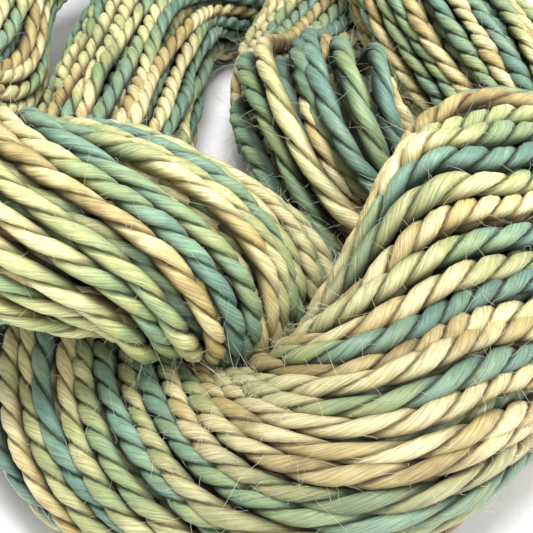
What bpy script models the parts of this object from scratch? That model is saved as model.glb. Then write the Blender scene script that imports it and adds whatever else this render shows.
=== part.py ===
"""A small twisted skein of thick two-ply embroidery floss, lying on a table.

The floss is wound into one ring, and the ring is one bundle of parallel strands. The ring is
doubled into four legs, the legs are twisted together like a rope towards the far end (+Y), and
at the near end one doubled end is tucked through the loop of the other. So the skein is a single
closed bundle, modelled as one solid: an oval section carried round one closed path, with the
strands' twist raised as ribs. Each leg keeps a little clear of its neighbours.

Frame: metres, +Z up, the table at z = 0, the skein's long axis along Y, near end at -Y, with the
origin on the table under the middle of its bounding box.
"""

import math

import bpy
import numpy as np

MM = 0.001

# The bundle's strands and how they twist round it
RIBS = 11                 # raised ribs round the bundle, each two strands wide
RIB_HEIGHT = 0.3          # mm, from furrow to crest
BUNDLE_TURNS = -10        # whole turns of the strands round the ring, right-handed (Z) twist
STATION_STEP = 2.4        # mm between sections along the ring
SMOOTHING = 1.3           # mm, how far the curve's small kinks are evened out

# The four-legged rope at the far end
ROPE_START, ROPE_END = 37.0, 75.0          # mm along Y
ROPE_HALF_WIDTH, ROPE_HALF_HEIGHT = 4.2, 3.4
ROPE_SPREAD_X, ROPE_SPREAD_Z = 7.6, 5.7    # how far a leg's centre runs from the rope's axis
ROPE_AXIS_Z = 8.7
ROPE_TURN = 225.0                          # degrees that the legs turn round each other
ROPE_ROWS = 9
PHASE = {"right": 90.0, "outer": 180.0, "left": 270.0, "fan": 360.0}  # degrees at ROPE_START
FAR_TURN_ANGLES = (20.0, 55.0, 90.0, 125.0, 160.0)   # degrees round each far U-turn
FAR_TURN_REACH = 2.4                       # mm that the U-turns stand past ROPE_END
FAR_TURN_HALF_WIDTH = 3.8

# Rows of the near end: place, x, y, z of the bundle's centre, half width, half height (mm), the
# tilt of the section in degrees, which lifts its left edge seen along the path, and how fast the
# strands twist there, where 1 is the usual rate.
COLUMNS = ("x", "y", "z", "half_width", "half_height", "tilt", "twist")

# The end loop: forward along the left leg, round the near end, over the tucked end, back right
END_LOOP = (
    ("left_leg_back",    -6.6, 28.2,  3.6, 4.1, 4.0, 0, 0.4),
    ("left_leg",         -7.6, 20.0,  3.6, 4.1, 4.0, 0, 0.2),
    ("left_leg_front",   -8.2, 10.0,  3.6, 4.2, 4.0, 0, 0.3),
    ("left_arm",         -8.7,  2.2,  3.3, 4.4, 3.7, 0, 0.8),
    ("left_corner",      -6.6, -4.3,  2.8, 4.8, 3.2, 0, 0.9),
    ("front",            -1.4, -8.5,  3.6, 4.5, 3.7, 4, 0.9),
    ("right_corner",      3.9, -8.6,  6.2, 4.6, 3.5, 26, 0.8),
    ("right_drape",       6.6, -5.1,  7.2, 5.1, 3.1, 32, 0.8),
    ("right_arm",         9.6, -1.9,  7.7, 5.6, 2.8, 35, 0.8),
    ("hump",             12.2,  3.5,  7.8, 5.0, 2.8, 32, 0.8),
    ("right_shoulder",   17.1,  7.3,  5.2, 3.8, 3.6, 12, 0.8),
    ("right_leg_front",  15.2, 13.0,  4.6, 4.2, 4.1, 0, 0.5),
    ("right_leg",         9.4, 20.6,  7.5, 4.2, 4.1, 0, 0.4),
    ("right_leg_back",    6.4, 28.0, 14.2, 4.2, 3.9, 0, 0.7),
)

# The tucked end: forward from the rope over a fan of strands, down through the loop, round a flat
# nose under the loop's right arm, and up and out over the left leg
TUCKED_END = (
    ("fan_leg_back",      3.5, 27.8,  4.7, 3.5, 3.9, 0, 0.7),
    ("fan_leg",           1.7, 20.4,  3.8, 3.6, 3.8, 0, 0.4),
    ("fan_back",          2.0, 14.6,  5.6, 3.5, 3.8, 0, 0.4),
    ("fan_crest",         2.3, 11.0,  8.0, 3.5, 3.4, 0, 0.4),
    ("fan_brow",          2.7,  8.4,  8.6, 3.3, 3.0, 0, 0.4),
    ("fan_lip",           3.5,  6.2,  7.5, 3.2, 2.8, 0, 0.6),
    ("fan_dive",          5.0,  5.2,  5.5, 3.2, 2.6, 0, 1.0),
    ("fan_under",         7.2,  5.2,  3.3, 3.2, 2.4, 0, 1.0),
    ("nose_back",         8.8,  4.9,  2.1, 3.1, 1.9, 0, 1.0),
    ("nose_turn_back",   10.9,  3.6,  1.4, 3.1, 1.5, 0, 1.0),
    ("nose",             11.6,  1.5,  1.3, 2.9, 1.4, 0, 1.0),
    ("nose_turn_front",  10.9, -1.0,  1.3, 3.1, 1.4, 0, 1.0),
    ("nose_front",        8.8, -2.4,  1.5, 3.1, 1.6, 0, 1.0),
    ("cross_under",       5.8, -2.5,  2.2, 3.3, 2.1, 0, 1.2),
    ("cross_dive",        2.8, -1.2,  3.9, 3.1, 2.4, 0, 1.4),
    ("cross_neck",       -0.4, -0.6,  7.0, 3.9, 3.0, 0, 1.6),
    ("cross_mid",        -4.0, -1.8, 10.0, 4.8, 3.5, 0, 1.6),
    ("cross_top",        -8.4, -2.6, 11.2, 4.6, 3.7, 0, 1.6),
    ("cross_left",      -13.4,  0.6, 10.4, 4.2, 3.8, 0, 1.6),
    ("outer_left",      -17.0,  9.0,  7.0, 4.1, 4.1, 0, 1.2),
    ("outer_left_leg",  -16.2, 18.6,  4.4, 4.1, 4.1, 0, 0.3),
    ("outer_left_back", -15.6, 27.6,  7.5, 4.0, 4.0, 0, 0.7),
)


def clear_scene():
    for item in list(bpy.data.objects):
        bpy.data.objects.remove(item, do_unlink=True)


def table_rows(table):
    """The rows' numbers, one column for each of COLUMNS."""
    return np.array([row[1:] for row in table], dtype=float)


def rope_leg(name, outwards):
    """Rows down one leg of the rope: its centre runs round an oval as y goes on."""
    y = np.linspace(ROPE_START, ROPE_END, ROPE_ROWS)
    turned = ROPE_TURN * (y - ROPE_START) / (ROPE_END - ROPE_START)
    angle = np.radians(PHASE[name] + turned)
    leg = np.stack([
        ROPE_SPREAD_X * np.cos(angle),
        y,
        ROPE_AXIS_Z + ROPE_SPREAD_Z * np.sin(angle),
        np.full_like(y, ROPE_HALF_WIDTH),
        np.full_like(y, ROPE_HALF_HEIGHT),
        np.zeros_like(y),
        np.ones_like(y),
    ], axis=1)
    return leg if outwards else leg[::-1]


def far_turn(start, end):
    """Rows round the half circle that joins two legs lying side by side at the far end."""
    centre = (start + end) / 2
    radius = (start[0] - end[0]) / 2
    rows = []
    for angle in np.radians(FAR_TURN_ANGLES):
        row = centre.copy()
        row[0] = centre[0] + radius * math.cos(angle)
        row[1] = ROPE_END + FAR_TURN_REACH + abs(radius) * math.sin(angle)
        row[3] = FAR_TURN_HALF_WIDTH
        rows.append(row)
    return np.array(rows)


def ring_rows():
    """Every row of the ring in order: end loop, right leg, fan leg, tucked end, outer, left."""
    right = rope_leg("right", outwards=True)
    fan = rope_leg("fan", outwards=False)
    outer = rope_leg("outer", outwards=True)
    left = rope_leg("left", outwards=False)
    return np.concatenate([
        table_rows(END_LOOP), right, far_turn(right[-1], fan[0]), fan,
        table_rows(TUCKED_END), outer, far_turn(outer[-1], left[0]), left,
    ])


def resampled(curve, count):
    """The closed curve at count places, evenly spaced along its length, and that length."""
    closed = np.vstack([curve, curve[:1]])
    steps = np.linalg.norm(np.diff(closed[:, :3], axis=0), axis=1)
    run = np.concatenate([[0.0], np.cumsum(steps)])
    places = np.arange(count) * run[-1] / count
    columns = [np.interp(places, run, closed[:, k]) for k in range(closed.shape[1])]
    return np.stack(columns, axis=1), run[-1]


def closed_curve(rows, samples_between=32, fine_step=0.5):
    """A smooth closed curve through the rows.

    Each stretch is a cubic whose slopes come from the rows before and after it, weighted by
    their distances. Short waves are then damped by a Gaussian of SMOOTHING millimetres.
    """
    after = np.roll(rows, -1, axis=0)
    before = np.roll(rows, 1, axis=0)
    gap = np.linalg.norm((after - rows)[:, :3], axis=1)[:, None]
    last_gap = np.roll(gap, 1, axis=0)
    slope = (rows - before) / last_gap * gap + (after - rows) / gap * last_gap
    slope = slope / (gap + last_gap)
    t = (np.arange(samples_between) / samples_between)[None, :, None]
    start = (2 * t**3 - 3 * t**2 + 1) * rows[:, None]
    leave = (t**3 - 2 * t**2 + t) * (slope * gap)[:, None]
    finish = (3 * t**2 - 2 * t**3) * after[:, None]
    arrive = (t**3 - t**2) * (np.roll(slope, -1, axis=0) * gap)[:, None]
    curve = (start + leave + finish + arrive).reshape(-1, rows.shape[1])

    rough, length = resampled(curve, len(curve))
    count = int(length / fine_step)
    fine, length = resampled(rough, count)
    waves = np.fft.rfftfreq(count, d=length / count)
    damping = np.exp(-0.5 * (2 * math.pi * waves * SMOOTHING) ** 2)
    fine = np.fft.irfft(np.fft.rfft(fine, axis=0) * damping[:, None], n=count, axis=0)
    return resampled(fine, int(length / STATION_STEP))


def section_axes(curve):
    """The side and up directions of each section, square to the path and turned by its tilt."""
    along = np.roll(curve[:, :3], -1, axis=0) - np.roll(curve[:, :3], 1, axis=0)
    along /= np.linalg.norm(along, axis=1)[:, None]
    up = np.array([0.0, 0.0, 1.0]) - along * along[:, 2:3]
    up /= np.linalg.norm(up, axis=1)[:, None]
    side = np.cross(along, up)
    tilt = np.radians(curve[:, 5])[:, None]
    return side * np.cos(tilt) - up * np.sin(tilt), up * np.cos(tilt) + side * np.sin(tilt)


def strand_twist(curve):
    """How far the strands have turned at each section, in radians: whole turns round the ring."""
    gained = (curve[:, 6] + np.roll(curve[:, 6], -1)) / 2
    share = np.concatenate([[0.0], np.cumsum(gained)[:-1]]) / gained.sum()
    return 2 * math.pi * BUNDLE_TURNS * share


def bundle_points(curve):
    """Points of the ribbed skin, one ring of 2 * RIBS points at each section.

    A point's angle grows evenly round the section and turns with the twist. It is shifted by
    the sine of twice itself, which spaces the points evenly on an oval. Every other point is a
    crest, the ones between are furrows, and nothing goes below the table.
    """
    stations = len(curve)
    across = 2 * RIBS
    around = np.arange(across) * 2 * math.pi / across
    angle = around[None, :] + strand_twist(curve)[:, None]
    width, height = curve[:, 3:4], curve[:, 4:5]
    angle = angle + (width - height) / (2 * (width + height)) * np.sin(2 * angle)
    furrow = RIB_HEIGHT * (np.arange(across) % 2)[None, :]
    side, up = section_axes(curve)
    sideways = (width - furrow) * np.cos(angle)
    upwards = (height - furrow) * np.sin(angle)
    points = (
        curve[:, None, :3]
        + side[:, None, :] * sideways[:, :, None]
        + up[:, None, :] * upwards[:, :, None]
    )
    points[:, :, 2] = np.maximum(points[:, :, 2], 0.0)
    return points


def skin_faces(stations, across):
    """Quads between each ring of points and the next, and from the last ring to the first."""
    place = np.arange(stations)[:, None]
    point = np.arange(across)[None, :]
    next_place = (place + 1) % stations
    next_point = (point + 1) % across
    corners = (
        place * across + point,
        next_place * across + point,
        next_place * across + next_point,
        place * across + next_point,
    )
    return np.stack(corners, axis=2).reshape(-1, 4)


def floss_material():
    material = bpy.data.materials.new("variegated_floss")
    material.use_nodes = True
    shader = material.node_tree.nodes["Principled BSDF"]
    shader.inputs["Base Color"].default_value = (0.47, 0.48, 0.27, 1.0)
    shader.inputs["Roughness"].default_value = 0.5
    shader.inputs["Metallic"].default_value = 0.0
    return material


def build_skein():
    collection = bpy.data.collections.new("floss_skein")
    bpy.context.scene.collection.children.link(collection)

    curve, length = closed_curve(ring_rows())
    points = bundle_points(curve)
    stations, across = points.shape[:2]
    low = points.reshape(-1, 3).min(axis=0)
    high = points.reshape(-1, 3).max(axis=0)
    middle = (low + high) / 2
    points = points - np.array([middle[0], middle[1], 0.0])

    mesh = bpy.data.meshes.new("skein")
    corners = (points.reshape(-1, 3) * MM).tolist()
    mesh.from_pydata(corners, [], skin_faces(stations, across).tolist())
    mesh.materials.append(floss_material())
    mesh.shade_smooth()
    mesh.update()
    skein = bpy.data.objects.new("skein", mesh)
    collection.objects.link(skein)
    print(f"ring {length:.1f} mm, {stations} sections, centre moved by {middle[:2].round(3)} mm")


clear_scene()
build_skein()
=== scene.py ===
# %% [markdown]
# # A skein of embroidery floss, strand by strand
#
# The object is a small hank of thick, lustrous two-ply floss. A ring of parallel strands is
# doubled into four legs, the legs are twisted together like a rope, and at the near end one
# doubled end is tucked through the loop of the other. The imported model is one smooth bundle.
# Here it is replaced by forty-eight strands in two layers, each of two plies twisted round each
# other, dyed in drifting colours, with stray fibres standing off them.
#
# Everything is worked out in millimetres and written to the meshes in metres.

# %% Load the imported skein
import math

import bpy
import numpy as np
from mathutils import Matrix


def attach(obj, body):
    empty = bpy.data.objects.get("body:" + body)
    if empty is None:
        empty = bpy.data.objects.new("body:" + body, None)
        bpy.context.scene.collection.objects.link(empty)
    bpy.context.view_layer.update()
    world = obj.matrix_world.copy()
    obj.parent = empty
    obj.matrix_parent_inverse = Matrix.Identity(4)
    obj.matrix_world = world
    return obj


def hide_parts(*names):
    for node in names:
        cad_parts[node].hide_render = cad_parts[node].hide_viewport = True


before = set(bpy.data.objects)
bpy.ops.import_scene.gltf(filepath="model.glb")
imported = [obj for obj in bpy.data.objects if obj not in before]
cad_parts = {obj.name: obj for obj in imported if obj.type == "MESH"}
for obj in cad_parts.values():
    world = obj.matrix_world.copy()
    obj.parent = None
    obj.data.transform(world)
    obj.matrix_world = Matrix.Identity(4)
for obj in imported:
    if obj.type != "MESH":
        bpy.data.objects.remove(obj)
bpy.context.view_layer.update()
MM = 0.001
TABLE_SHIFT = np.array([0.260, -36.527, 0.0])  # from the tables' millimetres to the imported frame
chance = np.random.default_rng(20)

# %% [markdown]
# ## The camera
#
# The photograph is a close-up that cuts the skein off on three sides, so its perspective is
# strong: strands at the front look twice as thick as those at the back. A camera is matched by
# three facts: how far off it is, how steeply it looks down, and how much its lens takes in.

# %% Place the camera
CAMERA_DISTANCE = 50.0
CAMERA_ANGLE = math.radians(38.0)
CAMERA_TARGET = np.array([0.0, 0.0, 7.0]) + TABLE_SHIFT
FOCAL_PIXELS, PICTURE_PIXELS = 1225.0, 533.0
SENSOR_WIDTH = 36.0  # mm


def new_object(title, data):
    """An object of this data, in the scene."""
    thing = bpy.data.objects.new(title, data)
    bpy.context.scene.collection.objects.link(thing)
    return thing


backwards = np.array([0.0, -math.cos(CAMERA_ANGLE), math.sin(CAMERA_ANGLE)])
camera_data = bpy.data.cameras.new("close_up")
camera_data.sensor_width = SENSOR_WIDTH
camera_data.lens = SENSOR_WIDTH * FOCAL_PIXELS / PICTURE_PIXELS
camera_data.clip_start = 0.002
camera_data.clip_end = 20.0
camera = new_object("close_up", camera_data)
camera.location = (CAMERA_TARGET + backwards * CAMERA_DISTANCE) * MM
camera.rotation_euler = (math.pi / 2 - CAMERA_ANGLE, 0.0, 0.0)
bpy.context.scene.camera = camera
print(f"camera: {camera_data.lens:.1f} mm lens, {CAMERA_DISTANCE} mm from the crossing")

# %% [markdown]
# ## The route of the bundle
#
# The bundle is one closed ring. Its route could be drawn as a curve object, but a table of
# sections is easier to read and to correct: each row gives the place of the bundle's middle, half
# its width and height, the tilt of its section, and how fast the strands twist there. The rows
# are those of the solid model, so the strands stay where the solid is.

# %% Tables of the near end
END_LOOP = (
    # place, x, y, z, half width, half height, tilt in degrees, twist
    ("left_leg_back",    -6.6, 28.2,  3.6, 4.1, 4.0, 0, 0.4),
    ("left_leg",         -7.6, 20.0,  3.6, 4.1, 4.0, 0, 0.2),
    ("left_leg_front",   -8.2, 10.0,  3.6, 4.2, 4.0, 0, 0.3),
    ("left_arm",         -8.7,  2.2,  3.3, 4.4, 3.7, 0, 0.8),
    ("left_corner",      -6.6, -4.3,  2.8, 4.8, 3.2, 0, 0.9),
    ("front",            -1.4, -8.5,  3.6, 4.5, 3.7, 4, 0.9),
    ("right_corner",      3.9, -8.6,  6.2, 4.6, 3.5, 26, 0.8),
    ("right_drape",       6.6, -5.1,  7.2, 5.1, 3.1, 32, 0.8),
    ("right_arm",         9.6, -1.9,  7.7, 5.6, 2.8, 35, 0.8),
    ("hump",             12.2,  3.5,  7.8, 5.0, 2.8, 32, 0.8),
    ("right_shoulder",   17.1,  7.3,  5.2, 3.8, 3.6, 12, 0.8),
    ("right_leg_front",  15.2, 13.0,  4.6, 4.2, 4.1, 0, 0.5),
    ("right_leg",         9.4, 20.6,  7.5, 4.2, 4.1, 0, 0.4),
    ("right_leg_back",    6.4, 28.0, 14.2, 4.2, 3.9, 0, 0.7),
)
TUCKED_END = (
    ("fan_leg_back",      3.5, 27.8,  4.7, 3.5, 3.9, 0, 0.7),
    ("fan_leg",           1.7, 20.4,  3.8, 3.6, 3.8, 0, 0.4),
    ("fan_back",          2.0, 14.6,  5.6, 3.5, 3.8, 0, 0.4),
    ("fan_crest",         2.3, 11.0,  8.0, 3.5, 3.4, 0, 0.4),
    ("fan_brow",          2.7,  8.4,  8.6, 3.3, 3.0, 0, 0.4),
    ("fan_lip",           3.5,  6.2,  7.5, 3.2, 2.8, 0, 0.6),
    ("fan_dive",          5.0,  5.2,  5.5, 3.2, 2.6, 0, 1.0),
    ("fan_under",         7.2,  5.2,  3.3, 3.2, 2.4, 0, 1.0),
    ("nose_back",         8.8,  4.9,  2.1, 3.1, 1.9, 0, 1.0),
    ("nose_turn_back",   10.9,  3.6,  1.4, 3.1, 1.5, 0, 1.0),
    ("nose",             11.6,  1.5,  1.3, 2.9, 1.4, 0, 1.0),
    ("nose_turn_front",  10.9, -1.0,  1.3, 3.1, 1.4, 0, 1.0),
    ("nose_front",        8.8, -2.4,  1.5, 3.1, 1.6, 0, 1.0),
    ("cross_under",       5.8, -2.5,  2.2, 3.3, 2.1, 0, 1.2),
    ("cross_dive",        2.8, -1.2,  3.9, 3.1, 2.4, 0, 1.4),
    ("cross_neck",       -0.4, -0.6,  7.0, 3.9, 3.0, 0, 1.6),
    ("cross_mid",        -4.0, -1.8, 10.0, 4.8, 3.5, 0, 1.6),
    ("cross_top",        -8.4, -2.6, 11.2, 4.6, 3.7, 0, 1.6),
    ("cross_left",      -13.4,  0.6, 10.4, 4.2, 3.8, 0, 1.6),
    ("outer_left",      -17.0,  9.0,  7.0, 4.1, 4.1, 0, 1.2),
    ("outer_left_leg",  -16.2, 18.6,  4.4, 4.1, 4.1, 0, 0.3),
    ("outer_left_back", -15.6, 27.6,  7.5, 4.0, 4.0, 0, 0.7),
)
print(len(END_LOOP), "sections on the end loop,", len(TUCKED_END), "on the tucked end")

# %% [markdown]
# ## The rope at the far end
#
# Behind the near end, the four legs wind round each other as a slack four-strand rope, and at
# the far end they join in two doubled ends. These rows follow a formula, so no table is needed:
# a leg's middle runs round an oval as it goes along Y, and each doubled end is half a circle.

# %% Rows of the rope
ROPE_START, ROPE_END = 37.0, 75.0
ROPE_HALF_WIDTH, ROPE_HALF_HEIGHT = 4.2, 3.4
ROPE_SPREAD_X, ROPE_SPREAD_Z, ROPE_AXIS_Z = 7.6, 5.7, 8.7
ROPE_TURN, ROPE_ROWS = 225.0, 9
PHASE = {"right": 90.0, "outer": 180.0, "left": 270.0, "fan": 360.0}
FAR_TURN_ANGLES = (20.0, 55.0, 90.0, 125.0, 160.0)
FAR_TURN_REACH, FAR_TURN_HALF_WIDTH = 2.4, 3.8


def rope_leg(name, outwards):
    """Rows down one leg: x and z are the cosine and sine of an angle that grows evenly with y."""
    y = np.linspace(ROPE_START, ROPE_END, ROPE_ROWS)
    turned = ROPE_TURN * (y - ROPE_START) / (ROPE_END - ROPE_START)
    angle = np.radians(PHASE[name] + turned)
    section = np.tile([ROPE_HALF_WIDTH, ROPE_HALF_HEIGHT, 0.0, 1.0], (ROPE_ROWS, 1))
    x, z = ROPE_SPREAD_X * np.cos(angle), ROPE_AXIS_Z + ROPE_SPREAD_Z * np.sin(angle)
    leg = np.column_stack([x, y, z, section])
    return leg if outwards else leg[::-1]


def far_turn(start, end):
    """Rows round half a circle whose diameter joins the ends of two legs."""
    angle = np.radians(FAR_TURN_ANGLES)
    radius = (start[0] - end[0]) / 2
    rows = np.tile((start + end) / 2, (len(angle), 1))
    rows[:, 0] += radius * np.cos(angle)
    rows[:, 1] = ROPE_END + FAR_TURN_REACH + abs(radius) * np.sin(angle)
    rows[:, 3] = FAR_TURN_HALF_WIDTH
    return rows


end_loop_rows, tucked_end_rows = (
    np.array([row[1:] for row in table], dtype=float) for table in (END_LOOP, TUCKED_END)
)
right_leg, fan_leg = rope_leg("right", True), rope_leg("fan", False)
outer_leg, left_leg = rope_leg("outer", True), rope_leg("left", False)
ring_rows = np.concatenate([
    end_loop_rows, right_leg, far_turn(right_leg[-1], fan_leg[0]), fan_leg,
    tucked_end_rows, outer_leg, far_turn(outer_leg[-1], left_leg[0]), left_leg,
])
print("the ring has", len(ring_rows), "rows")

# %% [markdown]
# ## From rows to a smooth ring
#
# Floss bends in easy curves, so the rows are joined by cubics and then evened out. A spline
# object would do the first half. Arrays do both, carry the widths, heights and tilts along, and
# give sections at even distances, which the twists below need.

# %% Smooth the ring
SECTION_STEP = 0.25
SMOOTHING = 1.3


def resampled(curve, count):
    """The closed curve at count places, evenly spaced along its length, and that length."""
    closed = np.vstack([curve, curve[:1]])
    steps = np.linalg.norm(np.diff(closed[:, :3], axis=0), axis=1)
    run = np.concatenate([[0.0], np.cumsum(steps)])
    places = np.arange(count) * run[-1] / count
    columns = [np.interp(places, run, closed[:, k]) for k in range(closed.shape[1])]
    return np.stack(columns, axis=1), run[-1]


def closed_curve(rows, samples_between=32, fine_step=0.5):
    """Cubics through the rows, sloped by their neighbours, with short waves damped."""
    after, before = np.roll(rows, -1, axis=0), np.roll(rows, 1, axis=0)
    gap = np.linalg.norm((after - rows)[:, :3], axis=1)[:, None]
    last_gap = np.roll(gap, 1, axis=0)
    slope = (rows - before) / last_gap * gap + (after - rows) / gap * last_gap
    slope = slope / (gap + last_gap)
    t = (np.arange(samples_between) / samples_between)[None, :, None]
    start = (2 * t**3 - 3 * t**2 + 1) * rows[:, None]
    leave = (t**3 - 2 * t**2 + t) * (slope * gap)[:, None]
    finish = (3 * t**2 - 2 * t**3) * after[:, None]
    arrive = (t**3 - t**2) * (np.roll(slope, -1, axis=0) * gap)[:, None]
    curve = (start + leave + finish + arrive).reshape(-1, rows.shape[1])
    rough, length = resampled(curve, len(curve))
    count = int(length / fine_step)
    fine, length = resampled(rough, count)
    waves = np.fft.rfftfreq(count, d=length / count)
    damping = np.exp(-0.5 * (2 * math.pi * waves * SMOOTHING) ** 2)
    fine = np.fft.irfft(np.fft.rfft(fine, axis=0) * damping[:, None], n=count, axis=0)
    return resampled(fine, int(length / SECTION_STEP))


ring, ring_length = closed_curve(ring_rows)
ring_step = ring_length / len(ring)
print(f"the ring is {ring_length:.1f} mm round, in {len(ring)} sections")

# %% [markdown]
# Each section needs two directions square to the route: sideways and up. An "up" as near to the
# world's up as can be never flips on a route like this one, which nowhere stands upright. The
# tilt then leans the section, as where an arm drapes.

# %% Give each section its directions
def unit(vectors):
    """Vectors of length 1 that point the same way."""
    return vectors / np.linalg.norm(vectors, axis=-1, keepdims=True)


along = unit(np.roll(ring[:, :3], -1, axis=0) - np.roll(ring[:, :3], 1, axis=0))
level_up = unit(np.array([0.0, 0.0, 1.0]) - along * along[:, 2:3])
level_side = np.cross(along, level_up)
tilt = np.radians(ring[:, 5])[:, None]
section_side = level_side * np.cos(tilt) - level_up * np.sin(tilt)
section_up = level_up * np.cos(tilt) + level_side * np.sin(tilt)


def on_ring(values, run):
    """Values at any distance round the ring, mixed from the two nearest sections."""
    position = np.mod(run / ring_step, len(values))
    before = np.floor(position).astype(int) % len(values)
    share = position - np.floor(position)
    if values.ndim > 1:
        share = share[..., None]
    return values[before] * (1 - share) + values[(before + 1) % len(values)] * share


def run_of(name):
    """How far round the ring a named row lies: the section nearest to its place."""
    row = next(row for row in END_LOOP + TUCKED_END if row[0] == name)
    return float(np.argmin(np.linalg.norm(ring[:, :3] - row[1:4], axis=1))) * ring_step


print(f"the fan's crest is {run_of('fan_crest'):.0f} mm round the ring")

# %% [markdown]
# ## How fast the strands twist
#
# The bundle's skin is a layer of parallel strands that turn slowly round it, like the threads of
# a very long screw: hardly along the straight legs, and quickly over the crossing, where the
# bundle was wrung. Adding the rate up round the ring, as a share of its whole sum, keeps the
# total at whole turns whatever the rates are, so every strand meets itself.

# %% Add up the twist
BUNDLE_TURNS = -10  # whole turns round the ring, right-handed
MEAN_RADIUS = 3.5  # mm from the bundle's middle to its outer strands


def running_share(rate):
    """A function of distance: the rate added up round the ring, as a share of its whole sum."""
    steps = (rate + np.roll(rate, -1)) / 2
    share = np.concatenate([[0.0], np.cumsum(steps)]) / steps.sum()
    places = np.arange(len(share)) * ring_step

    def at(run):
        laps = np.floor(run / ring_length)
        return laps + np.interp(run - laps * ring_length, places, share)

    return at


twist_share = running_share(ring[:, 6])
twist_rate = 2 * math.pi * abs(BUNDLE_TURNS) * ring[:, 6] / ring[:, 6].mean() / ring_length
stretched = np.hypot(1.0, MEAN_RADIUS * twist_rate)
strand_share = running_share(stretched)
strand_length = ring_length * stretched.mean()
print(f"one turn of the ring takes {strand_length:.0f} mm of floss")

# %% [markdown]
# ## How the strands lie in the bundle
#
# Hand-wound strands are never even: each wanders a little to the side, and dips or rises, so dark
# gaps open between them. The wander is a sum of cosines with whole numbers of waves round the
# ring, so it closes on itself. Some strands sink below the others at the crossing, where the
# twist crowds them out, and in the fan, which has fallen open into single loops. Round the inside
# of a bend a strand is too long for its way and stands off its neighbours, so a short table lists
# the two places where that shows. Where the bundle spreads wider, and over the loose right arm,
# the strands slacken and swell a little.

# %% Work out the middle line of each strand
THREAD = 0.82  # mm, the diameter of one strand
OUTER_STRANDS, INNER_STRANDS = 26, 22
SUNK_AT_CROSSING = (2, 6, 11, 15, 19, 24)
USUAL_RADIUS = 4.1  # mm; where the bundle spreads wider, its strands slacken and swell
FAN_SINK, FAN_RISE, CROSSING_SINK = 1.5, 0.5, 0.75  # in thread diameters
FAN_SWELL, LOOSE_SWELL, MOST_SPREAD_SWELL = 0.14, 0.12, 0.2
FAN_DIP = 1.5  # how much more the strands dip and rise in the fan
UNEVEN_THICKNESS = 0.07
LOWEST_MIDDLE = 0.46  # how far a strand's middle stays above the table, in diameters
# Shortest and longest waves, in millimetres
SIDEWAYS_WAVES, DIP_WAVES, THICKNESS_WAVES = (14.0, 60.0), (7.0, 30.0), (3.0, 12.0)


def ripple(strands, shortest, longest, waves=7):
    """Cosines with whole numbers of waves round the ring: one smooth random line a strand."""
    most, least = ring_length / shortest, ring_length / longest
    cycles = np.round(chance.uniform(least, most, (strands, waves, 1)))
    phase = chance.uniform(0, 2 * math.pi, (strands, waves, 1))
    size = math.sqrt(2 / waves)

    def at(run):
        turned = 2 * math.pi * cycles * run[None, None, :] / ring_length
        return size * np.cos(turned + phase).sum(axis=1)

    return at


def stretch(run, first, last, ease):
    """1 between two places on the ring, and a smooth fall to 0 over an ease beyond each."""
    middle, half = (first + last) / 2, (last - first) / 2
    away = np.abs(np.mod(run - middle + ring_length / 2, ring_length) - ring_length / 2)
    share = np.clip((half + ease - away) / ease, 0, 1)
    return share**2 * (3 - 2 * share)


# First and last place, and the ease beyond them in millimetres
fan_run = (run_of("fan_crest"), run_of("fan_lip"), 7.0)
crossing_run = (run_of("cross_neck"), run_of("cross_left"), 9.0)
loose_run = (run_of("right_drape"), run_of("right_shoulder"), 6.0)
SLACK_PLACES = (
    # first and last place, ease, mm, degrees round the section, shares sideways and up
    (run_of("right_drape") + 4.0, run_of("right_arm") + 3.0, 6.0, 1.9, 155.0, -0.8, 0.6),
    (run_of("cross_dive") + 1.5, run_of("cross_mid"), 3.0, 0.7, 225.0, -0.7, -0.7),
)


def slack_lift(angle, run):
    """How far strands stand off the inside of a bend, where they have slack.

    At each slack place the lift is greatest at one angle on the section and falls off as a
    squared cosine round it, and smoothly along the run.
    """
    side, up = on_ring(section_side, run)[None], on_ring(section_up, run)[None]
    total = 0.0
    for first, last, ease, most, middle_angle, sideways, upwards in SLACK_PLACES:
        lift = most * stretch(run, first, last, ease)[None, :, None]
        round_it = np.cos(angle - math.radians(middle_angle))[..., None]
        total = total + (sideways * side + upwards * up) * lift * np.clip(round_it, 0, 1) ** 2
    return total


def spread_shares(sunk):
    """Shares of a full turn when some strands sink: the others stand evenly round the bundle.

    A sunk strand lies halfway between the two that close over it.
    """
    on_top = ~sunk
    rank = np.cumsum(on_top) - np.where(on_top, 1.0, 0.5)
    share = rank / on_top.sum()
    even = np.arange(len(sunk)) / len(sunk)
    return share - (share - even).mean()


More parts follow.
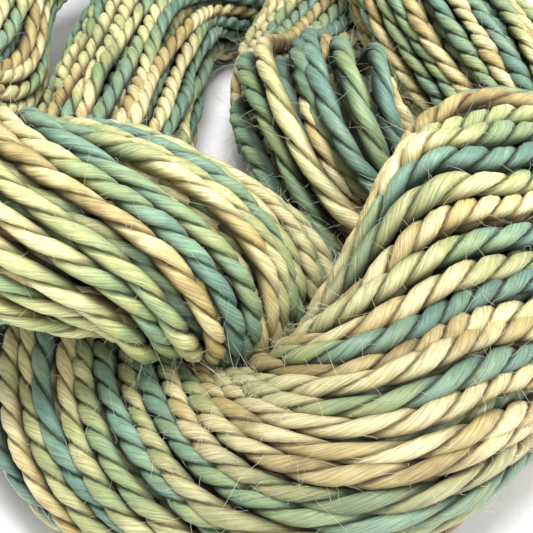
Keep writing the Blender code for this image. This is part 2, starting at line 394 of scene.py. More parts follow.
class Layer:
    """A layer of strands at one depth in the bundle, with its own random wander.

    The depth and the dip are in millimetres, the wander is a share of the strands' spacing,
    and the waver of the plies is in radians.
    """

    def __init__(self, strands, depth, wander, dip, waver, sunk_at_crossing=()):
        self.strands, self.depth, self.wander, self.dip = strands, depth, wander, dip
        self.waver = waver
        self.sideways = ripple(strands, *SIDEWAYS_WAVES)
        self.inwards = ripple(strands, *DIP_WAVES)
        self.thickness = ripple(strands, *THICKNESS_WAVES)
        number = np.arange(strands)
        self.sunk_crossing = np.isin(number, sunk_at_crossing)
        self.sunk_fan = number % 2 == 1

    def middle_lines(self, run):
        """Middle, outward direction and thickness of each strand at each distance.

        A strand's angle is its share of a full turn, plus the bundle's twist, plus its wander.
        The middle is that angle's place on the section's oval, drawn in by the layer's depth.
        """
        fan = stretch(run, *fan_run)[None, :]
        crossing = stretch(run, *crossing_run)[None, :]
        even = np.arange(self.strands)[:, None] / self.strands
        share = even + fan * (spread_shares(self.sunk_fan)[:, None] - even)
        share = share + crossing * (spread_shares(self.sunk_crossing)[:, None] - even)
        angle = 2 * math.pi * (share + BUNDLE_TURNS * twist_share(run)[None, :])
        angle = angle + self.wander * self.sideways(run) * 2 * math.pi / self.strands
        here = on_ring(ring, run)[None]
        width, height = here[..., 3], here[..., 4]
        angle = angle + (width - height) / (2 * (width + height)) * np.sin(2 * angle)
        dip = self.dip * self.inwards(run) * (1 + FAN_DIP * fan)
        sink = fan * np.where(self.sunk_fan, FAN_SINK, -FAN_RISE)[:, None]
        sink = sink + crossing * np.where(self.sunk_crossing, CROSSING_SINK, 0.0)[:, None]
        depth = self.depth + dip + THREAD * sink
        side, up = on_ring(section_side, run)[None], on_ring(section_up, run)[None]
        cosine, sine = np.cos(angle)[..., None], np.sin(angle)[..., None]
        reach_side = (width - depth)[..., None] * cosine
        reach_up = (height - depth)[..., None] * sine
        middle = here[..., :3] + side * reach_side + up * reach_up + slack_lift(angle, run)
        middle[..., 2] = np.maximum(middle[..., 2], THREAD * LOWEST_MIDDLE)
        outward = unit(side * cosine * height[..., None] + up * sine * width[..., None])
        spread = np.sqrt((width**2 + height**2) / 2) / USUAL_RADIUS - 1
        swell = fan * np.where(self.sunk_fan, 0.0, FAN_SWELL)[:, None]
        swell = swell + np.clip(spread, 0, MOST_SPREAD_SWELL)
        swell = swell + LOOSE_SWELL * stretch(run, *loose_run)[None, :]
        return middle, outward, THREAD * (1 + swell + UNEVEN_THICKNESS * self.thickness(run))


outer_layer = Layer(
    OUTER_STRANDS, depth=0.5 * THREAD, wander=0.17, dip=0.10, waver=0.8,
    sunk_at_crossing=SUNK_AT_CROSSING,
)
inner_layer = Layer(INNER_STRANDS, depth=1.45 * THREAD, wander=0.15, dip=0.10, waver=0.5)
layers = (outer_layer, inner_layer)
print(OUTER_STRANDS, "outer and", INNER_STRANDS, "inner strands")

# %% [markdown]
# ## A two-ply strand
#
# Each strand is two plies twisted round each other, so it looks like a row of slanting lobes
# with dark grooves between them. Two tubes wound round each other would show it, but half of each
# would be hidden in the other. One tube whose outline is two overlapping ovals shows the same
# with half the faces, and only its outline has to turn.

# %% Draw the outline of two plies
PLY_OFFSET, PLY_ACROSS, PLY_TALL = 0.225, 0.285, 0.40  # in thread diameters
FINE_PLY, COARSE_PLY = 6, 3  # points on each ply


def two_ply_outline(points_each):
    """Points round two ovals that overlap, from groove to groove.

    Each oval's points lie at even angles between the two where it meets the other. Returns the
    points and their height above the groove, from 0 to 1.
    """
    edge = math.acos(-PLY_OFFSET / PLY_ACROSS)
    angle = np.linspace(-edge, edge, points_each + 1)[:-1]
    x = PLY_OFFSET + PLY_ACROSS * np.cos(angle)
    y = PLY_TALL * np.sin(angle)
    outline = np.concatenate([np.stack([x, y], 1), np.stack([-x, -y], 1)])
    reach = np.linalg.norm(outline, axis=1)
    return outline, (reach - reach.min()) / (reach.max() - reach.min())


fine_outline = two_ply_outline(FINE_PLY)[0]
radius = np.linalg.norm(fine_outline, axis=1)
print(f"outline of {len(radius)} points, {radius.min():.2f} to {radius.max():.2f} diameters out")

# %% [markdown]
# The plies turn left-handed (an S twist) once every three and a quarter diameters. Their half
# turns round the ring are a whole number, so that each strand joins itself. Columns of points
# follow the plies, which keeps the grooves sharp and lets the material's streaks run along them.

# %% Carry the outline along each strand
PLY_PITCH = 2.7  # mm of strand for one full turn of the plies
PLY_WAVES = (9.0, 40.0)  # shortest and longest waves of their waver, in mm
UNEVEN_PITCH = 0.03
LOWEST_SKIN = 0.01  # mm above the table


def ply_half_turns(strands):
    """A whole number of half turns for each strand, a few per cent apart."""
    usual = 2 * strand_length / PLY_PITCH
    return np.round(usual * chance.normal(1.0, UNEVEN_PITCH, (strands, 1)))


def strand_surface(layer, run, points_each):
    """Rings of points round every strand of a layer: (strands, run, around, 3).

    Each ring is the two-ply outline square to the strand, turned by the plies' angle, which
    grows evenly with the strand's length and wavers a little. Returns the points, their height
    above the groove, and how far they face out of the bundle, from -1 to 1. A coarse outline has
    a larger share of its points in the groove, so their height is raised to make up for it.
    """
    step = run[1] - run[0]
    wider = np.concatenate([[run[0] - step], run, [run[-1] + step]])
    middle, outward, thickness = layer.middle_lines(wider)
    forward = unit(middle[:, 2:] - middle[:, :-2])
    middle, outward, thickness = middle[:, 1:-1], outward[:, 1:-1], thickness[:, 1:-1]
    outward = unit(outward - forward * (outward * forward).sum(-1, keepdims=True))
    across = np.cross(forward, outward)
    turned = -math.pi * layer.half_turns * strand_share(run)[None, :]
    turned = turned + layer.start_angle + layer.waver * layer.wavering(run)
    outline, crest = two_ply_outline(points_each)
    cosine, sine = np.cos(turned)[..., None], np.sin(turned)[..., None]
    x = (outline[:, 0] * cosine - outline[:, 1] * sine) * thickness[..., None]
    y = (outline[:, 0] * sine + outline[:, 1] * cosine) * thickness[..., None]
    points = middle[:, :, None] + outward[:, :, None] * x[..., None]
    points = points + across[:, :, None] * y[..., None]
    points[..., 2] = np.maximum(points[..., 2], LOWEST_SKIN)
    facing = np.clip(2 * x / thickness[..., None], -1, 1)
    crest = 1 - (1 - crest) * points_each / FINE_PLY
    return points, np.broadcast_to(crest, points.shape[:3]), facing


for layer in layers:
    layer.half_turns = ply_half_turns(layer.strands)
for layer in layers:
    layer.start_angle = chance.uniform(0, math.pi, (layer.strands, 1))
for layer in layers:
    layer.wavering = ripple(layer.strands, *PLY_WAVES)
print("plies make", int(outer_layer.half_turns.mean() / 2), "turns round the ring")

# %% [markdown]
# ## The dye
#
# The floss was dyed in patches before it was wound, so each strand drifts between grey-teal,
# sage, olive and cream, and its neighbour is somewhere else in the cycle. In a few places most
# strands lean the same way, and a short table lists them. The drift and a brightness are stored
# on the mesh as two numbers, because only the mesh knows which strand is which, and the material
# turns them into a colour. The brightness is how pale the dye took, with a small ripple, and in
# the table's patches it is partly painted light and shade: darker at the front of the end loop and
# under the crossing's neck, paler over the crossing and the right arm.

# %% Let the dye drift along the strands
DYE_AND_PAINTED_LIGHT_PATCHES = (
    # first and last place, ease, the step in the palette towards cream, and how much paler, which
    # is partly painted light and shade
    (run_of("cross_under"), run_of("cross_neck"), 6.0, -0.35, -0.25),
    (run_of("cross_mid"), run_of("cross_left"), 8.0, 0.45, 0.18),
    (run_of("fan_crest"), run_of("fan_dive"), 8.0, -0.4, 0.06),
    (run_of("front") + 3.0, run_of("right_corner") + 3.0, 6.0, 0.6, -0.22),
    (run_of("right_arm"), run_of("hump"), 8.0, -0.1, 0.2),
    (run_of("right_leg_front"), run_of("right_leg_back"), 8.0, 0.1, 0.15),
    (run_of("left_arm"), run_of("front"), 6.0, -0.25, -0.05),
)
# Shortest and longest waves, in millimetres
SLOW_WAVES, QUICK_WAVES, PALENESS_WAVES = (30.0, 110.0), (9.0, 30.0), (12.0, 50.0)
SLOW_DRIFT, QUICK_DRIFT, PALENESS_DRIFT = 0.7, 0.4, 0.06
NEIGHBOUR_STEP, STRAND_RANGE = 0.618, 2.2  # the golden ratio keeps neighbours apart
CONTRAST = 0.8
PLY_STEP = 0.05


class Dye:
    """Palette positions along each strand, pushed towards the palette's ends, and paleness with
    painted light and shade.
    """

    def __init__(self, strands):
        self.slow = ripple(strands, *SLOW_WAVES)
        self.quick = ripple(strands, *QUICK_WAVES)
        self.strength = ripple(strands, *PALENESS_WAVES)
        order = (np.arange(strands) * NEIGHBOUR_STEP) % 1.0
        self.base = ((order - 0.5) * STRAND_RANGE)[:, None]

    def at(self, run):
        """Half of 1 plus the tanh of a strand's own step, the patches and two ripples."""
        patch = sum(step * stretch(run, *where) for *where, step, _ in DYE_AND_PAINTED_LIGHT_PATCHES)
        drift = self.base + patch + SLOW_DRIFT * self.slow(run) + QUICK_DRIFT * self.quick(run)
        return 0.5 + 0.5 * np.tanh(CONTRAST * drift)

    def paleness_and_painted_light_at(self, run):
        """1 plus the patches' paleness, which is partly painted light and shade, and a small ripple
        of how pale the dye took.
        """
        patch = sum(paler * stretch(run, *where) for *where, _, paler in DYE_AND_PAINTED_LIGHT_PATCHES)
        return 1 + patch + PALENESS_DRIFT * self.strength(run)


def ply_shade(points_each):
    """A small step in the palette from one ply to the other."""
    return np.repeat([PLY_STEP, -PLY_STEP], points_each)


for layer in layers:
    layer.dye = Dye(layer.strands)
print("dye at the start:", outer_layer.dye.at(np.array([0.0])).round(2).ravel()[:8])

# %% [markdown]
# ## Writing strands into a mesh
#
# A strand is a long grid: rings of points one way, columns the other. The faces follow from the
# point numbers, so whole arrays of them are handed to Blender at once. The UV map holds the place
# round the outline and millimetres along the strand, for the fibre pattern.

# %% Build a mesh from grids of points
UV_MAP = "along_the_ply"
STRAND_SHIFT = 3.37  # how far apart the strands' patterns lie on the UV map


def tube_quads(strands, rings, around):
    """Corner numbers of the quads of several tubes, (faces, 4), wound to face outwards."""
    strand = np.arange(strands)[:, None, None] * rings * around
    ring_index = np.arange(rings - 1)[None, :, None] * around
    column = np.arange(around)[None, None, :]
    here = strand + ring_index + column
    beside = strand + ring_index + (column + 1) % around
    return np.stack([here, beside, beside + around, here + around], axis=-1).reshape(-1, 4)


def end_fans(strands, rings, around, first_middle):
    """Triangles that close both ends of each tube on a middle point, (faces, 3)."""
    column = np.arange(around)[None, :]
    beside = (column + 1) % around
    strand = np.arange(strands)[:, None] * rings * around
    last = strand + (rings - 1) * around
    start_middle = first_middle + 2 * np.arange(strands)[:, None] + np.zeros_like(column)
    end_middle = start_middle + 1
    start = np.stack([strand + beside, strand + column, start_middle], axis=-1)
    finish = np.stack([last + column, last + beside, end_middle], axis=-1)
    return np.concatenate([start.reshape(-1, 3), finish.reshape(-1, 3)])


def mesh_of_tubes(name, points, numbers, uv=None):
    """A mesh object of closed tubes from points (strands, rings, around, 3) in millimetres.

    numbers names one value for each point, and uv holds two for each corner of a quad.
    """
    strands, rings, around = points.shape[:3]
    ends = points[:, [0, -1]].mean(axis=2).reshape(-1, 3)
    count = strands * rings * around
    quads = tube_quads(strands, rings, around)
    fans = end_fans(strands, rings, around, count)
    places = (np.concatenate([points.reshape(-1, 3), ends]) + TABLE_SHIFT) * MM
    corners = np.concatenate([quads.ravel(), fans.ravel()])
    starts = np.concatenate([np.arange(len(quads)) * 4, len(quads) * 4 + np.arange(len(fans)) * 3])
    mesh = bpy.data.meshes.new(name)
    mesh.vertices.add(len(places))
    mesh.vertices.foreach_set("co", places.astype(np.float32).ravel())
    mesh.loops.add(len(corners))
    mesh.loops.foreach_set("vertex_index", corners.astype(np.int32))
    mesh.polygons.add(len(starts))
    mesh.polygons.foreach_set("loop_start", starts.astype(np.int32))
    mesh.update(calc_edges=True)
    mesh.shade_smooth()
    for title, values in numbers.items():
        flat = np.concatenate([values.ravel(), values[:, [0, -1], 0].ravel()])
        attribute = mesh.attributes.new(title, "FLOAT", "POINT")
        attribute.data.foreach_set("value", flat.astype(np.float32))
    if uv is not None:
        flat = np.concatenate([uv.reshape(-1, 2), np.zeros((len(fans) * 3, 2))])
        uv_map = mesh.uv_layers.new(name=UV_MAP)
        uv_map.data.foreach_set("uv", flat.astype(np.float32).ravel())
    print(f"{name}: {len(quads) * 2 + len(fans)} triangles")
    return new_object(name, mesh)


def fibre_uv(strands, run, around):
    """For each quad's corners: the place round the outline, 0 to 1, and millimetres along."""
    left = np.arange(around) / around
    right = left + 1 / around
    u = np.stack([left, right, right, left], axis=-1)
    v = np.stack([run[:-1], run[:-1], run[1:], run[1:]], axis=-1)
    grid = np.zeros((strands, len(run) - 1, around, 4, 2))
    grid[..., 0] = u[None, None] + np.arange(strands)[:, None, None, None] * STRAND_SHIFT
    grid[..., 1] = v[None, :, None]
    return grid


print("three rings of six points make", len(tube_quads(1, 3, 6)), "quads")

# %% [markdown]
# ## Near strands and far strands
#
# The near end is what a close-up shows, so its strands get closer rings and rounder plies than
# those of the rope behind. The ring is cut where it passes into the rope, and the cut ends meet
# exactly, because every formula depends only on the distance round the ring.

# %% Make the strands
NEAR_LIMIT = 27.0  # mm along Y in the tables
NEAR_STEP, INNER_STEP, FAR_STEP = 0.30, 0.40, 0.46
is_near = ring[:, 1] < NEAR_LIMIT
entering = np.flatnonzero(is_near & ~np.roll(is_near, 1)) * ring_step
leaving = np.flatnonzero(~is_near & np.roll(is_near, 1)) * ring_step
leaving = np.where(leaving < entering[0], leaving + ring_length, leaving)
print("near stretches:", [(round(a, 1), round(b, 1)) for a, b in zip(entering, leaving)])


def lay_strands(name, layer, chosen, ends, ring_spacing, points_each):
    """One piece: the chosen strands of a layer between two distances round the ring."""
    start, finish = ends
    run = np.linspace(start, finish, int((finish - start) / ring_spacing) + 1)
    points, crest, facing = strand_surface(layer, run, points_each)
    dye = layer.dye.at(run)[..., None] + ply_shade(points_each)
    # How pale the dye took, with painted light and shade in the patches:
    pale_and_painted_light = np.broadcast_to(layer.dye.paleness_and_painted_light_at(run)[..., None], points.shape[:3])
    numbers = {"dye": dye, "paleness_and_painted_light": pale_and_painted_light, "crest": crest, "facing_out": facing}
    numbers = {title: values[chosen] for title, values in numbers.items()}
    uv = fibre_uv(len(chosen), run, points_each * 2)
    return mesh_of_tubes(name, points[chosen], numbers, uv)


near_ends = {"end_loop": (entering[0], leaving[0]), "tucked_end": (entering[1], leaving[1])}
far_ends = {
    "right_and_fan_legs": (leaving[0], entering[1]),
    "outer_and_left_legs": (leaving[1], entering[0] + ring_length),
}
all_outer = np.arange(OUTER_STRANDS)
pieces = []
for title, ends in near_ends.items():
    for half, chosen in zip("ab", np.split(all_outer, 2)):
        name = f"{title}_strands_{half}"
        pieces.append(lay_strands(name, outer_layer, chosen, ends, NEAR_STEP, FINE_PLY))
for title, ends in far_ends.items():
    name = f"{title}_strands"
    pieces.append(lay_strands(name, outer_layer, all_outer, ends, FAR_STEP, COARSE_PLY))

# %% [markdown]
# Between the outer strands the eye looks into the bundle, at the next layer in deep shade. It is
# made more coarsely, and only at the near end. Behind it, and close under the outer strands of
# the rope, a plain filling stands for the rest, its colour darkened as painted shade.

# %% Make the inner strands and the filling
all_inner = np.arange(INNER_STRANDS)
inner_pieces = []
for title, ends in near_ends.items():
    name = f"{title}_inner_strands"
    inner_pieces.append(lay_strands(name, inner_layer, all_inner, ends, INNER_STEP, COARSE_PLY))

DEEP_FILLING, SHALLOW_FILLING = 2.1, 0.95  # mm below the skin, at the near end and behind
FILLING_STEP, FILLING_AROUND, FILLING_DYE = 1.2, 16, 0.4
run = np.linspace(0, ring_length, int(ring_length / FILLING_STEP) + 1)
here = on_ring(ring, run)[:, None]
filling_depth = np.where(here[..., 1:2] < NEAR_LIMIT - 1.0, DEEP_FILLING, SHALLOW_FILLING)
angle = np.linspace(0, 2 * math.pi, FILLING_AROUND + 1)[:-1]
angle = np.broadcast_to(angle, (len(run), FILLING_AROUND))
reach = here[..., 3:5] - filling_depth
side, up = on_ring(section_side, run)[:, None], on_ring(section_up, run)[:, None]
points = here[..., :3] + side * reach[..., :1] * np.cos(angle)[..., None]
points = points + up * reach[..., 1:] * np.sin(angle)[..., None]
points = (points + np.swapaxes(slack_lift(angle.T, run), 0, 1))[None, :, ::-1]
filling = mesh_of_tubes("bundle_filling", points, {"dye": np.full(points.shape[:3], FILLING_DYE)})

# %% [markdown]
# ## Stray fibres
#
# Lustrous floss still sheds a haze of short, curling fibres that stand off the crests and cross
# the creases, many of them where the skein has been rubbed. Blender's hair curves are made for
# this, but they are not exported with the model, so each fibre is a very thin three-sided tube
# along a curved line. There are longer fibres, and more of a shorter fuzz.

# %% Scatter the stray fibres
RUBBED_SHARE, RUBBED_REACH = 0.4, 5.0  # the share of fibres there, and mm round each place
ROOT_HEIGHT = 0.44  # mm from a strand's middle to the root of a fibre
FIBRE_CLEARANCE = 0.04  # mm above the table
ROOT_SPREAD = 0.6  # radians either side of straight out of the bundle
AHEAD, OUTWARDS, ASTRAY = (0.4, 1.2), (0.15, 0.9), 0.35  # which way a fibre sets off
BEND, LIE_BACK = 1.5, 0.3
CURL_SHARE, CURL = (0.3, 1.0), 0.5
LENGTH_SHAPE = 3.0  # of the gamma draws of a fibre's length
THIN_END = 0.35  # how much of its radius is left at a fibre's tip
FORWARD_STEP = 0.2  # mm
RUBBED_PLACES = (
    run_of("fan_crest"), run_of("fan_lip"), run_of("cross_mid"), run_of("front") + 3.0,
    run_of("right_arm"),
)


def stray_fibre_points(count, radius, sections, usual_length):
    """Three-sided tubes along curves that leave a strand at a slant and bend back over it.

    A fibre's line is its start, plus its direction times the distance, plus its bend times the
    distance squared, less its curl times the distance cubed. Its ends are thinner.
    """
    lengths = leaving - entering
    which = chance.uniform(0, lengths.sum(), count)
    run = np.where(which < lengths[0], entering[0] + which, entering[1] + which - lengths[0])
    rubbed = chance.choice(RUBBED_PLACES, count) + chance.normal(0, RUBBED_REACH, count)
    run = np.sort(np.where(chance.random(count) < RUBBED_SHARE, rubbed, run))
    strand = chance.integers(0, OUTER_STRANDS, count)
    middle, outward, _ = outer_layer.middle_lines(run)
    ahead, _, _ = outer_layer.middle_lines(run + FORWARD_STEP)
    pick = (strand, np.arange(count))
    middle, outward, ahead = middle[pick], outward[pick], ahead[pick]
    forward = unit(ahead - middle)
    across = np.cross(forward, outward)
    lean = chance.normal(0, ROOT_SPREAD, (count, 1))
    root = outward * np.cos(lean) + across * np.sin(lean)
    way = np.where(chance.random((count, 1)) < 0.5, -1, 1)
    heading = forward * way * chance.uniform(*AHEAD, (count, 1))
    heading = heading + root * chance.uniform(*OUTWARDS, (count, 1))
    heading = unit(heading + chance.normal(0, ASTRAY, (count, 3)))
    bend = chance.normal(0, BEND, (count, 3)) - root * LIE_BACK
    curl = bend * chance.uniform(*CURL_SHARE, (count, 1)) + chance.normal(0, CURL, (count, 3))
    length = chance.gamma(LENGTH_SHAPE, usual_length / LENGTH_SHAPE, (count, 1))
    length = np.minimum(length, 2 * usual_length)
    t = np.linspace(0, 1, sections)[None, :, None]
    line = heading[:, None] * t + bend[:, None] * t**2 - curl[:, None] * t**3
    line = (middle + root * ROOT_HEIGHT)[:, None] + line * length[:, None]
    line[..., 2] = np.maximum(line[..., 2], FIBRE_CLEARANCE)
    slope = unit(np.gradient(line, axis=1))
    first = unit(np.cross(slope, across[:, None]))
    second = np.cross(slope, first)
    around = np.arange(3)[None, None, :, None] * 2 * math.pi / 3
    thinning = THIN_END + (1 - THIN_END) * np.sin(math.pi * (0.8 * t + 0.2))
    spread = first[:, :, None] * np.cos(around) + second[:, :, None] * np.sin(around)
    points = line[:, :, None] + spread * radius * thinning[..., None]
    dye = outer_layer.dye.at(run)[pick]
    return points, np.broadcast_to(dye[:, None, None], points.shape[:3])


FIBRE_MAKE_UPS = {
    # count, radius in mm, sections, usual length in mm
    "stray_fibres": (2800, 0.0075, 7, 0.6),
    "short_fuzz": (6600, 0.007, 4, 0.4),
}
fibres = []
for name, make_up in FIBRE_MAKE_UPS.items():
    fibre_points, fibre_dye = stray_fibre_points(*make_up)
    fibres.append(mesh_of_tubes(name, fibre_points, {"dye": fibre_dye}))

# %% [markdown]
# ## Colours of the dye
#
# One node group turns a place in the dye's drift into a colour, so that all materials agree. The
# ramp's stops are the floss's own colours, as seen on lobes that face the light: grey-teal,
# green, sage, olive, cream and warm straw.

# %% Make the dye group
DYE_STOPS = (
    (0.00, (100, 134, 118)),
    (0.18, (122, 152, 122)),
    (0.34, (138, 158, 110)),
    (0.48, (168, 172, 114)),
    (0.62, (206, 200, 144)),
    (0.76, (228, 214, 162)),
    (0.90, (194, 174, 114)),
    (1.00, (166, 144, 88)),
)


def linear(colour):
    """A colour given in 0 to 255 as a screen shows it, in the linear values that nodes use."""
    value = np.array(colour) / 255
    value = np.where(value <= 0.04045, value / 12.92, ((value + 0.055) / 1.055) ** 2.4)
    return (*value.tolist(), 1.0)


def set_inputs(tree, node, inputs):
    """Give each named input of a node its value, or link it to another node's output."""
    for name, value in inputs.items():
        if isinstance(value, bpy.types.NodeSocket):
            tree.links.new(value, node.inputs[name])
        else:
            node.inputs[name].default_value = value


def node_in(tree, kind, inputs, **settings):
    """A new node in a tree, with its settings and its inputs."""
    node = tree.nodes.new(f"ShaderNode{kind}")
    for name, value in settings.items():
        setattr(node, name, value)
    set_inputs(tree, node, inputs)
    return node


def new_group(title, inputs, outputs):
    """A shader node group with named sockets: the group, what comes in and what goes out."""
    group = bpy.data.node_groups.new(title, "ShaderNodeTree")
    for way, names in (("INPUT", inputs), ("OUTPUT", outputs)):
        for name in names:
            kind = "NodeSocketColor" if name == "Colour" else "NodeSocketFloat"
            group.interface.new_socket(name, in_out=way, socket_type=kind)
    come_in, go_out = group.nodes.new("NodeGroupInput"), group.nodes.new("NodeGroupOutput")
    return group, come_in.outputs, go_out


def product(tree, first, second):
    """One number times another."""
    return node_in(tree, "Math", {0: first, 1: second}, operation="MULTIPLY").outputs[0]


def scaled(tree, colour, factor):
    """A colour times a number."""
    node = node_in(tree, "VectorMath", {0: colour, "Scale": factor}, operation="SCALE")
    return node.outputs["Vector"]


def dye_group():
    """Place in the drift to colour: a ramp over the stops, with a little cloudy unevenness."""
    group, come_in, go_out = new_group("dye_colour", ["Place", "Unevenness"], ["Colour"])
    place = node_in(group, "TexCoord", {})
    cloud = node_in(group, "TexNoise", {
        "Vector": place.outputs["Object"], "Scale": 900.0, "Detail": 2.0,
    })
    centred = node_in(group, "Math", {0: cloud.outputs["Fac"], 1: 0.5}, operation="SUBTRACT")
    moved = node_in(group, "Math", {
        0: centred.outputs[0], 1: come_in["Unevenness"], 2: come_in["Place"],
    }, operation="MULTIPLY_ADD")
    ramp = node_in(group, "ValToRGB", {"Fac": moved.outputs[0]})
    ramp.color_ramp.interpolation = "EASE"
    elements = ramp.color_ramp.elements
    for stop, (position, colour) in enumerate(DYE_STOPS):
        element = elements[stop] if stop < 2 else elements.new(position)
        element.position = position
        element.color = linear(colour)
    set_inputs(group, go_out, {"Colour": ramp.outputs["Color"]})
    return group


dye_colour = dye_group()
print("dye group:", [socket.name for socket in dye_colour.interface.items_tree])

# %% [markdown]
# ## The floss's surface
#
# Each ply is a bundle of fine parallel fibres, which show as faint, slightly raised streaks along
# it and give the floss its satin look. They are a noise pattern on the UV map, stretched along
# the ply. Outer and inner strands share them, so they are a group.

# %% Make the fibre streak group
def streak_group():
    """Noise on UV, squeezed across the ply and stretched along it: a mask from 0 to 1."""
    group, come_in, go_out = new_group("fibre_streaks", ["Across", "Along"], ["Streak"])
    uv = node_in(group, "UVMap", {}, uv_map=UV_MAP)
    scale = node_in(group, "CombineXYZ", {"X": come_in["Across"], "Y": come_in["Along"]})
    squeezed = node_in(
        group, "VectorMath", {0: uv.outputs["UV"], 1: scale.outputs["Vector"]}, operation="MULTIPLY"
    )
    noise = node_in(group, "TexNoise", {
        "Vector": squeezed.outputs["Vector"], "Scale": 1.0, "Detail": 4.0, "Roughness": 0.72,
    }, noise_dimensions="2D")
    set_inputs(group, go_out, {"Streak": noise.outputs["Fac"]})
    return group


fibre_streaks = streak_group()
print("streak group:", [socket.name for socket in fibre_streaks.interface.items_tree])

# %% [markdown]
# Shade is painted into the grooves and onto the strands' sides that face into the bundle: light
# is lost there and picks up the dye's own colour, so the colour is deepened by multiplying it with
# itself. Two numbers on the mesh say where: the height above the groove, and how far the point
# faces out of the bundle.

# %% Make the groove group
# Painted shade in the grooves and on the strands' sides that face into the bundle:
PAINTED_SHADE_STRENGTH = 0.38  # the deepened colour's strength
HEIGHT_RISE, FACING_RISE = (0.0, 0.8), (-0.25, 0.9)  # where the mask rises
STREAK_RANGE, STREAK_TINTS = (0.3, 0.7), (0.52, 1.36)  # and the strengths it is carried to


def mapped(tree, value, source, target=(0.0, 1.0), **settings):
    """A value carried from one range to another, and held at its ends."""
    return node_in(tree, "MapRange", {
        "Value": value, "From Min": source[0], "From Max": source[1],
        "To Min": target[0], "To Max": target[1],
    }, **settings).outputs["Result"]


def groove_group():
    """The dye's colour times its streaks, mixed by a mask with a painted shade of it.

    The mask is a smooth rise over the height times a smooth rise over the facing. The painted
    shade, which darkens the grooves and the strands' sides that face into the bundle, is the
    streaked colour times the dye's colour, at a fixed strength.
    """
    group, come_in, go_out = new_group(
        "painted_groove_shade", ["Colour", "Streak", "Strength", "Height", "Facing"], ["Colour", "Mask"]
    )
    dye = come_in["Colour"]
    tint = mapped(group, come_in["Streak"], STREAK_RANGE, STREAK_TINTS)
    streaked = scaled(group, dye, product(group, tint, come_in["Strength"]))
    squared = node_in(group, "VectorMath", {0: streaked, 1: dye}, operation="MULTIPLY")
    painted_shade_colour = scaled(group, squared.outputs["Vector"], PAINTED_SHADE_STRENGTH)
    height = mapped(group, come_in["Height"], HEIGHT_RISE, interpolation_type="SMOOTHSTEP")
    facing = mapped(group, come_in["Facing"], FACING_RISE, interpolation_type="SMOOTHSTEP")
    mask = product(group, height, facing)
    mixed = node_in(group, "Mix", {"Factor": mask, "A": painted_shade_colour, "B": streaked}, data_type="RGBA")
    set_inputs(group, go_out, {"Colour": mixed.outputs["Result"], "Mask": mask})
    return group


painted_groove_shade = groove_group()
print("groove group:", [socket.name for socket in painted_groove_shade.interface.items_tree])

# %% [markdown]
# Crests are satin and grooves are dull, so the roughness follows the same mask. The inner
# strands wear the same material, a little darker, as painted shade for their place in the bundle.

# %% Make the floss materials
ROUGHNESS = (0.85, 0.38)  # in the grooves, and on the crests
STREAK_HEIGHT = 0.05  # mm


def new_material(title):
    """A material, its node tree and its Principled shader."""
    material = bpy.data.materials.new(title)
    material.use_nodes = True
    return material, material.node_tree, material.node_tree.nodes["Principled BSDF"]


def mesh_number(tree, name):
    """One of the mesh's numbers at each point."""
    return node_in(tree, "Attribute", {}, attribute_name=name).outputs["Fac"]


def dye_on(tree, unevenness):
    """The dye's colour at each point."""
    return node_in(tree, "Group", {
        "Place": mesh_number(tree, "dye"), "Unevenness": unevenness,
    }, node_tree=dye_colour).outputs["Colour"]


def floss_material(title, painted_shade):
    """Dye with painted shade in the grooves, where it is also duller, streaked by fibres, on a
    satin shader. The number after the title scales it all; below 1 it is painted shade.
    """
    material, tree, shader = new_material(title)
    streak = node_in(
        tree, "Group", {"Across": 34.0, "Along": 1.0}, node_tree=fibre_streaks
    ).outputs["Streak"]
    # Painted shade in the grooves and on the inward sides, from the crest and facing numbers:
    grooves = node_in(tree, "Group", {
        "Colour": dye_on(tree, 0.3), "Streak": streak,
        "Strength": product(tree, mesh_number(tree, "paleness_and_painted_light"), painted_shade),
        "Height": mesh_number(tree, "crest"), "Facing": mesh_number(tree, "facing_out"),
    }, node_tree=painted_groove_shade)
    bump = node_in(tree, "Bump", {
        "Height": streak, "Strength": 0.9, "Distance": STREAK_HEIGHT * MM,
    })
    set_inputs(tree, shader, {
        "Base Color": grooves.outputs["Colour"], "Normal": bump.outputs["Normal"],
        "Roughness": mapped(tree, grooves.outputs["Mask"], (0.0, 1.0), ROUGHNESS),
        "Specular IOR Level": 0.7, "Sheen Weight": 0.08, "Sheen Roughness": 0.4,
    })
    return material


# The inner strands' colour is scaled by 0.8 as painted shade.
floss, inner_floss = floss_material("two_ply_floss", 1.0), floss_material("inner_floss", 0.8)
print("materials:", floss.name, "and", inner_floss.name)

# %% [markdown]
# Stray fibres are paler than the strands they come from. The filling is only ever seen as
# darkness between strands, so shade is painted on it: it is dark and dull, with the dye's greens
# and browns in cloudy patches.

# %% Make the fibre and filling materials
def stray_fibre_material():
    """The dye's colour, paler, on thin fibres that catch the light."""
    material, tree, shader = new_material("stray_fibre")
    paler = node_in(tree, "Mix", {
        "Factor": 0.35, "A": dye_on(tree, 0.2), "B": linear((225, 225, 205)),
    }, data_type="RGBA")
    set_inputs(tree, shader, {
        "Base Color": paler.outputs["Result"], "Roughness": 0.4, "Sheen Weight": 0.3,
    })
    return material


def filling_material():
    """Half the dye's colour, as painted shade, in cloudy patches, on a dull shader."""
    material, tree, shader = new_material("shaded_filling")
    # The dye's colour is halved: painted shade.
    set_inputs(tree, shader, {"Base Color": scaled(tree, dye_on(tree, 1.6), 0.5), "Roughness": 0.9})
    return material


stray_fibre, shaded_filling = stray_fibre_material(), filling_material()
print("materials:", stray_fibre.name, "and", shaded_filling.name)
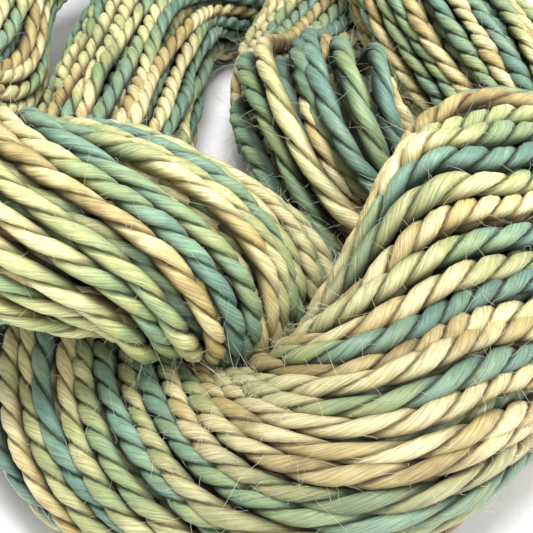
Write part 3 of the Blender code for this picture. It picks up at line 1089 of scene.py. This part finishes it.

# %% [markdown]
# Every piece lies still in the imported skein's place, so all are dressed alike: each gets its
# material and rides on the root, and the solid skein they replace is hidden.

# %% Dress the pieces
for wearers, material in (
    (pieces, floss), (inner_pieces, inner_floss), (fibres, stray_fibre), ([filling], shaded_filling)
):
    for piece in wearers:
        piece.data.materials.append(material)
dressed = (*pieces, *inner_pieces, *fibres, filling)
for piece in dressed:
    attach(piece, "root")
    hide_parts("skein")
print(len(dressed), "pieces dressed")

# %% [markdown]
# ## Table and light
#
# The skein lies on a plain white surface under broad, soft light, so its shadows have no edges. A
# square lamp overhead, a little to the right, gives the lobes their soft highlights. A broader
# one in front lightens the shadows, and an even pale surround fills the rest.

# %% Lay the table
TABLE_HALF = 1.5  # m
table_mesh = bpy.data.meshes.new("table_top")
corners = [(x * TABLE_HALF, y * TABLE_HALF, 0) for x, y in ((-1, -1), (1, -1), (1, 1), (-1, 1))]
table_mesh.from_pydata(corners, [], [(0, 1, 2, 3)])
table = new_object("table_top", table_mesh)
paper, tree, shader = new_material("white_table")
place = node_in(tree, "TexCoord", {})
grain = node_in(tree, "TexNoise", {"Vector": place.outputs["Object"], "Scale": 12.0})
tone = node_in(tree, "Mix", {
    "Factor": grain.outputs["Fac"], "A": linear((236, 235, 238)), "B": linear((240, 239, 241)),
}, data_type="RGBA")
set_inputs(tree, shader, {"Base Color": tone.outputs["Result"], "Roughness": 0.7})
table.data.materials.append(paper)
print(f"table {2 * TABLE_HALF} m square")

# %% Light the table
LAMP_AIM = (0.0, -0.03, 0.0)


def soft_lamp(title, place, size, power):
    """A square lamp at a place, turned to face the near end, in metres and watts."""
    lamp_data = bpy.data.lights.new(title, "AREA")
    lamp_data.shape = "SQUARE"
    lamp_data.size = size
    lamp_data.energy = power
    lamp = new_object(title, lamp_data)
    lamp.location = place
    x, y, z = np.array(LAMP_AIM) - np.array(place)
    lamp.rotation_euler = (math.pi / 2 - math.atan2(-z, math.hypot(x, y)), 0.0, math.atan2(-x, y))


soft_lamp("overhead", (0.03, -0.05, 0.42), size=0.18, power=2.2)
soft_lamp("front_fill", (0.2, -0.35, 0.3), size=0.3, power=1.6)
world = bpy.data.worlds.new("pale_surround")
world.use_nodes = True
set_inputs(world.node_tree, world.node_tree.nodes["Background"], {
    "Color": (0.95, 0.97, 1.0, 1.0), "Strength": 0.5,
})
bpy.context.scene.world = world
bpy.context.scene.view_settings.view_transform = "Standard"
print("two lamps and a pale surround")
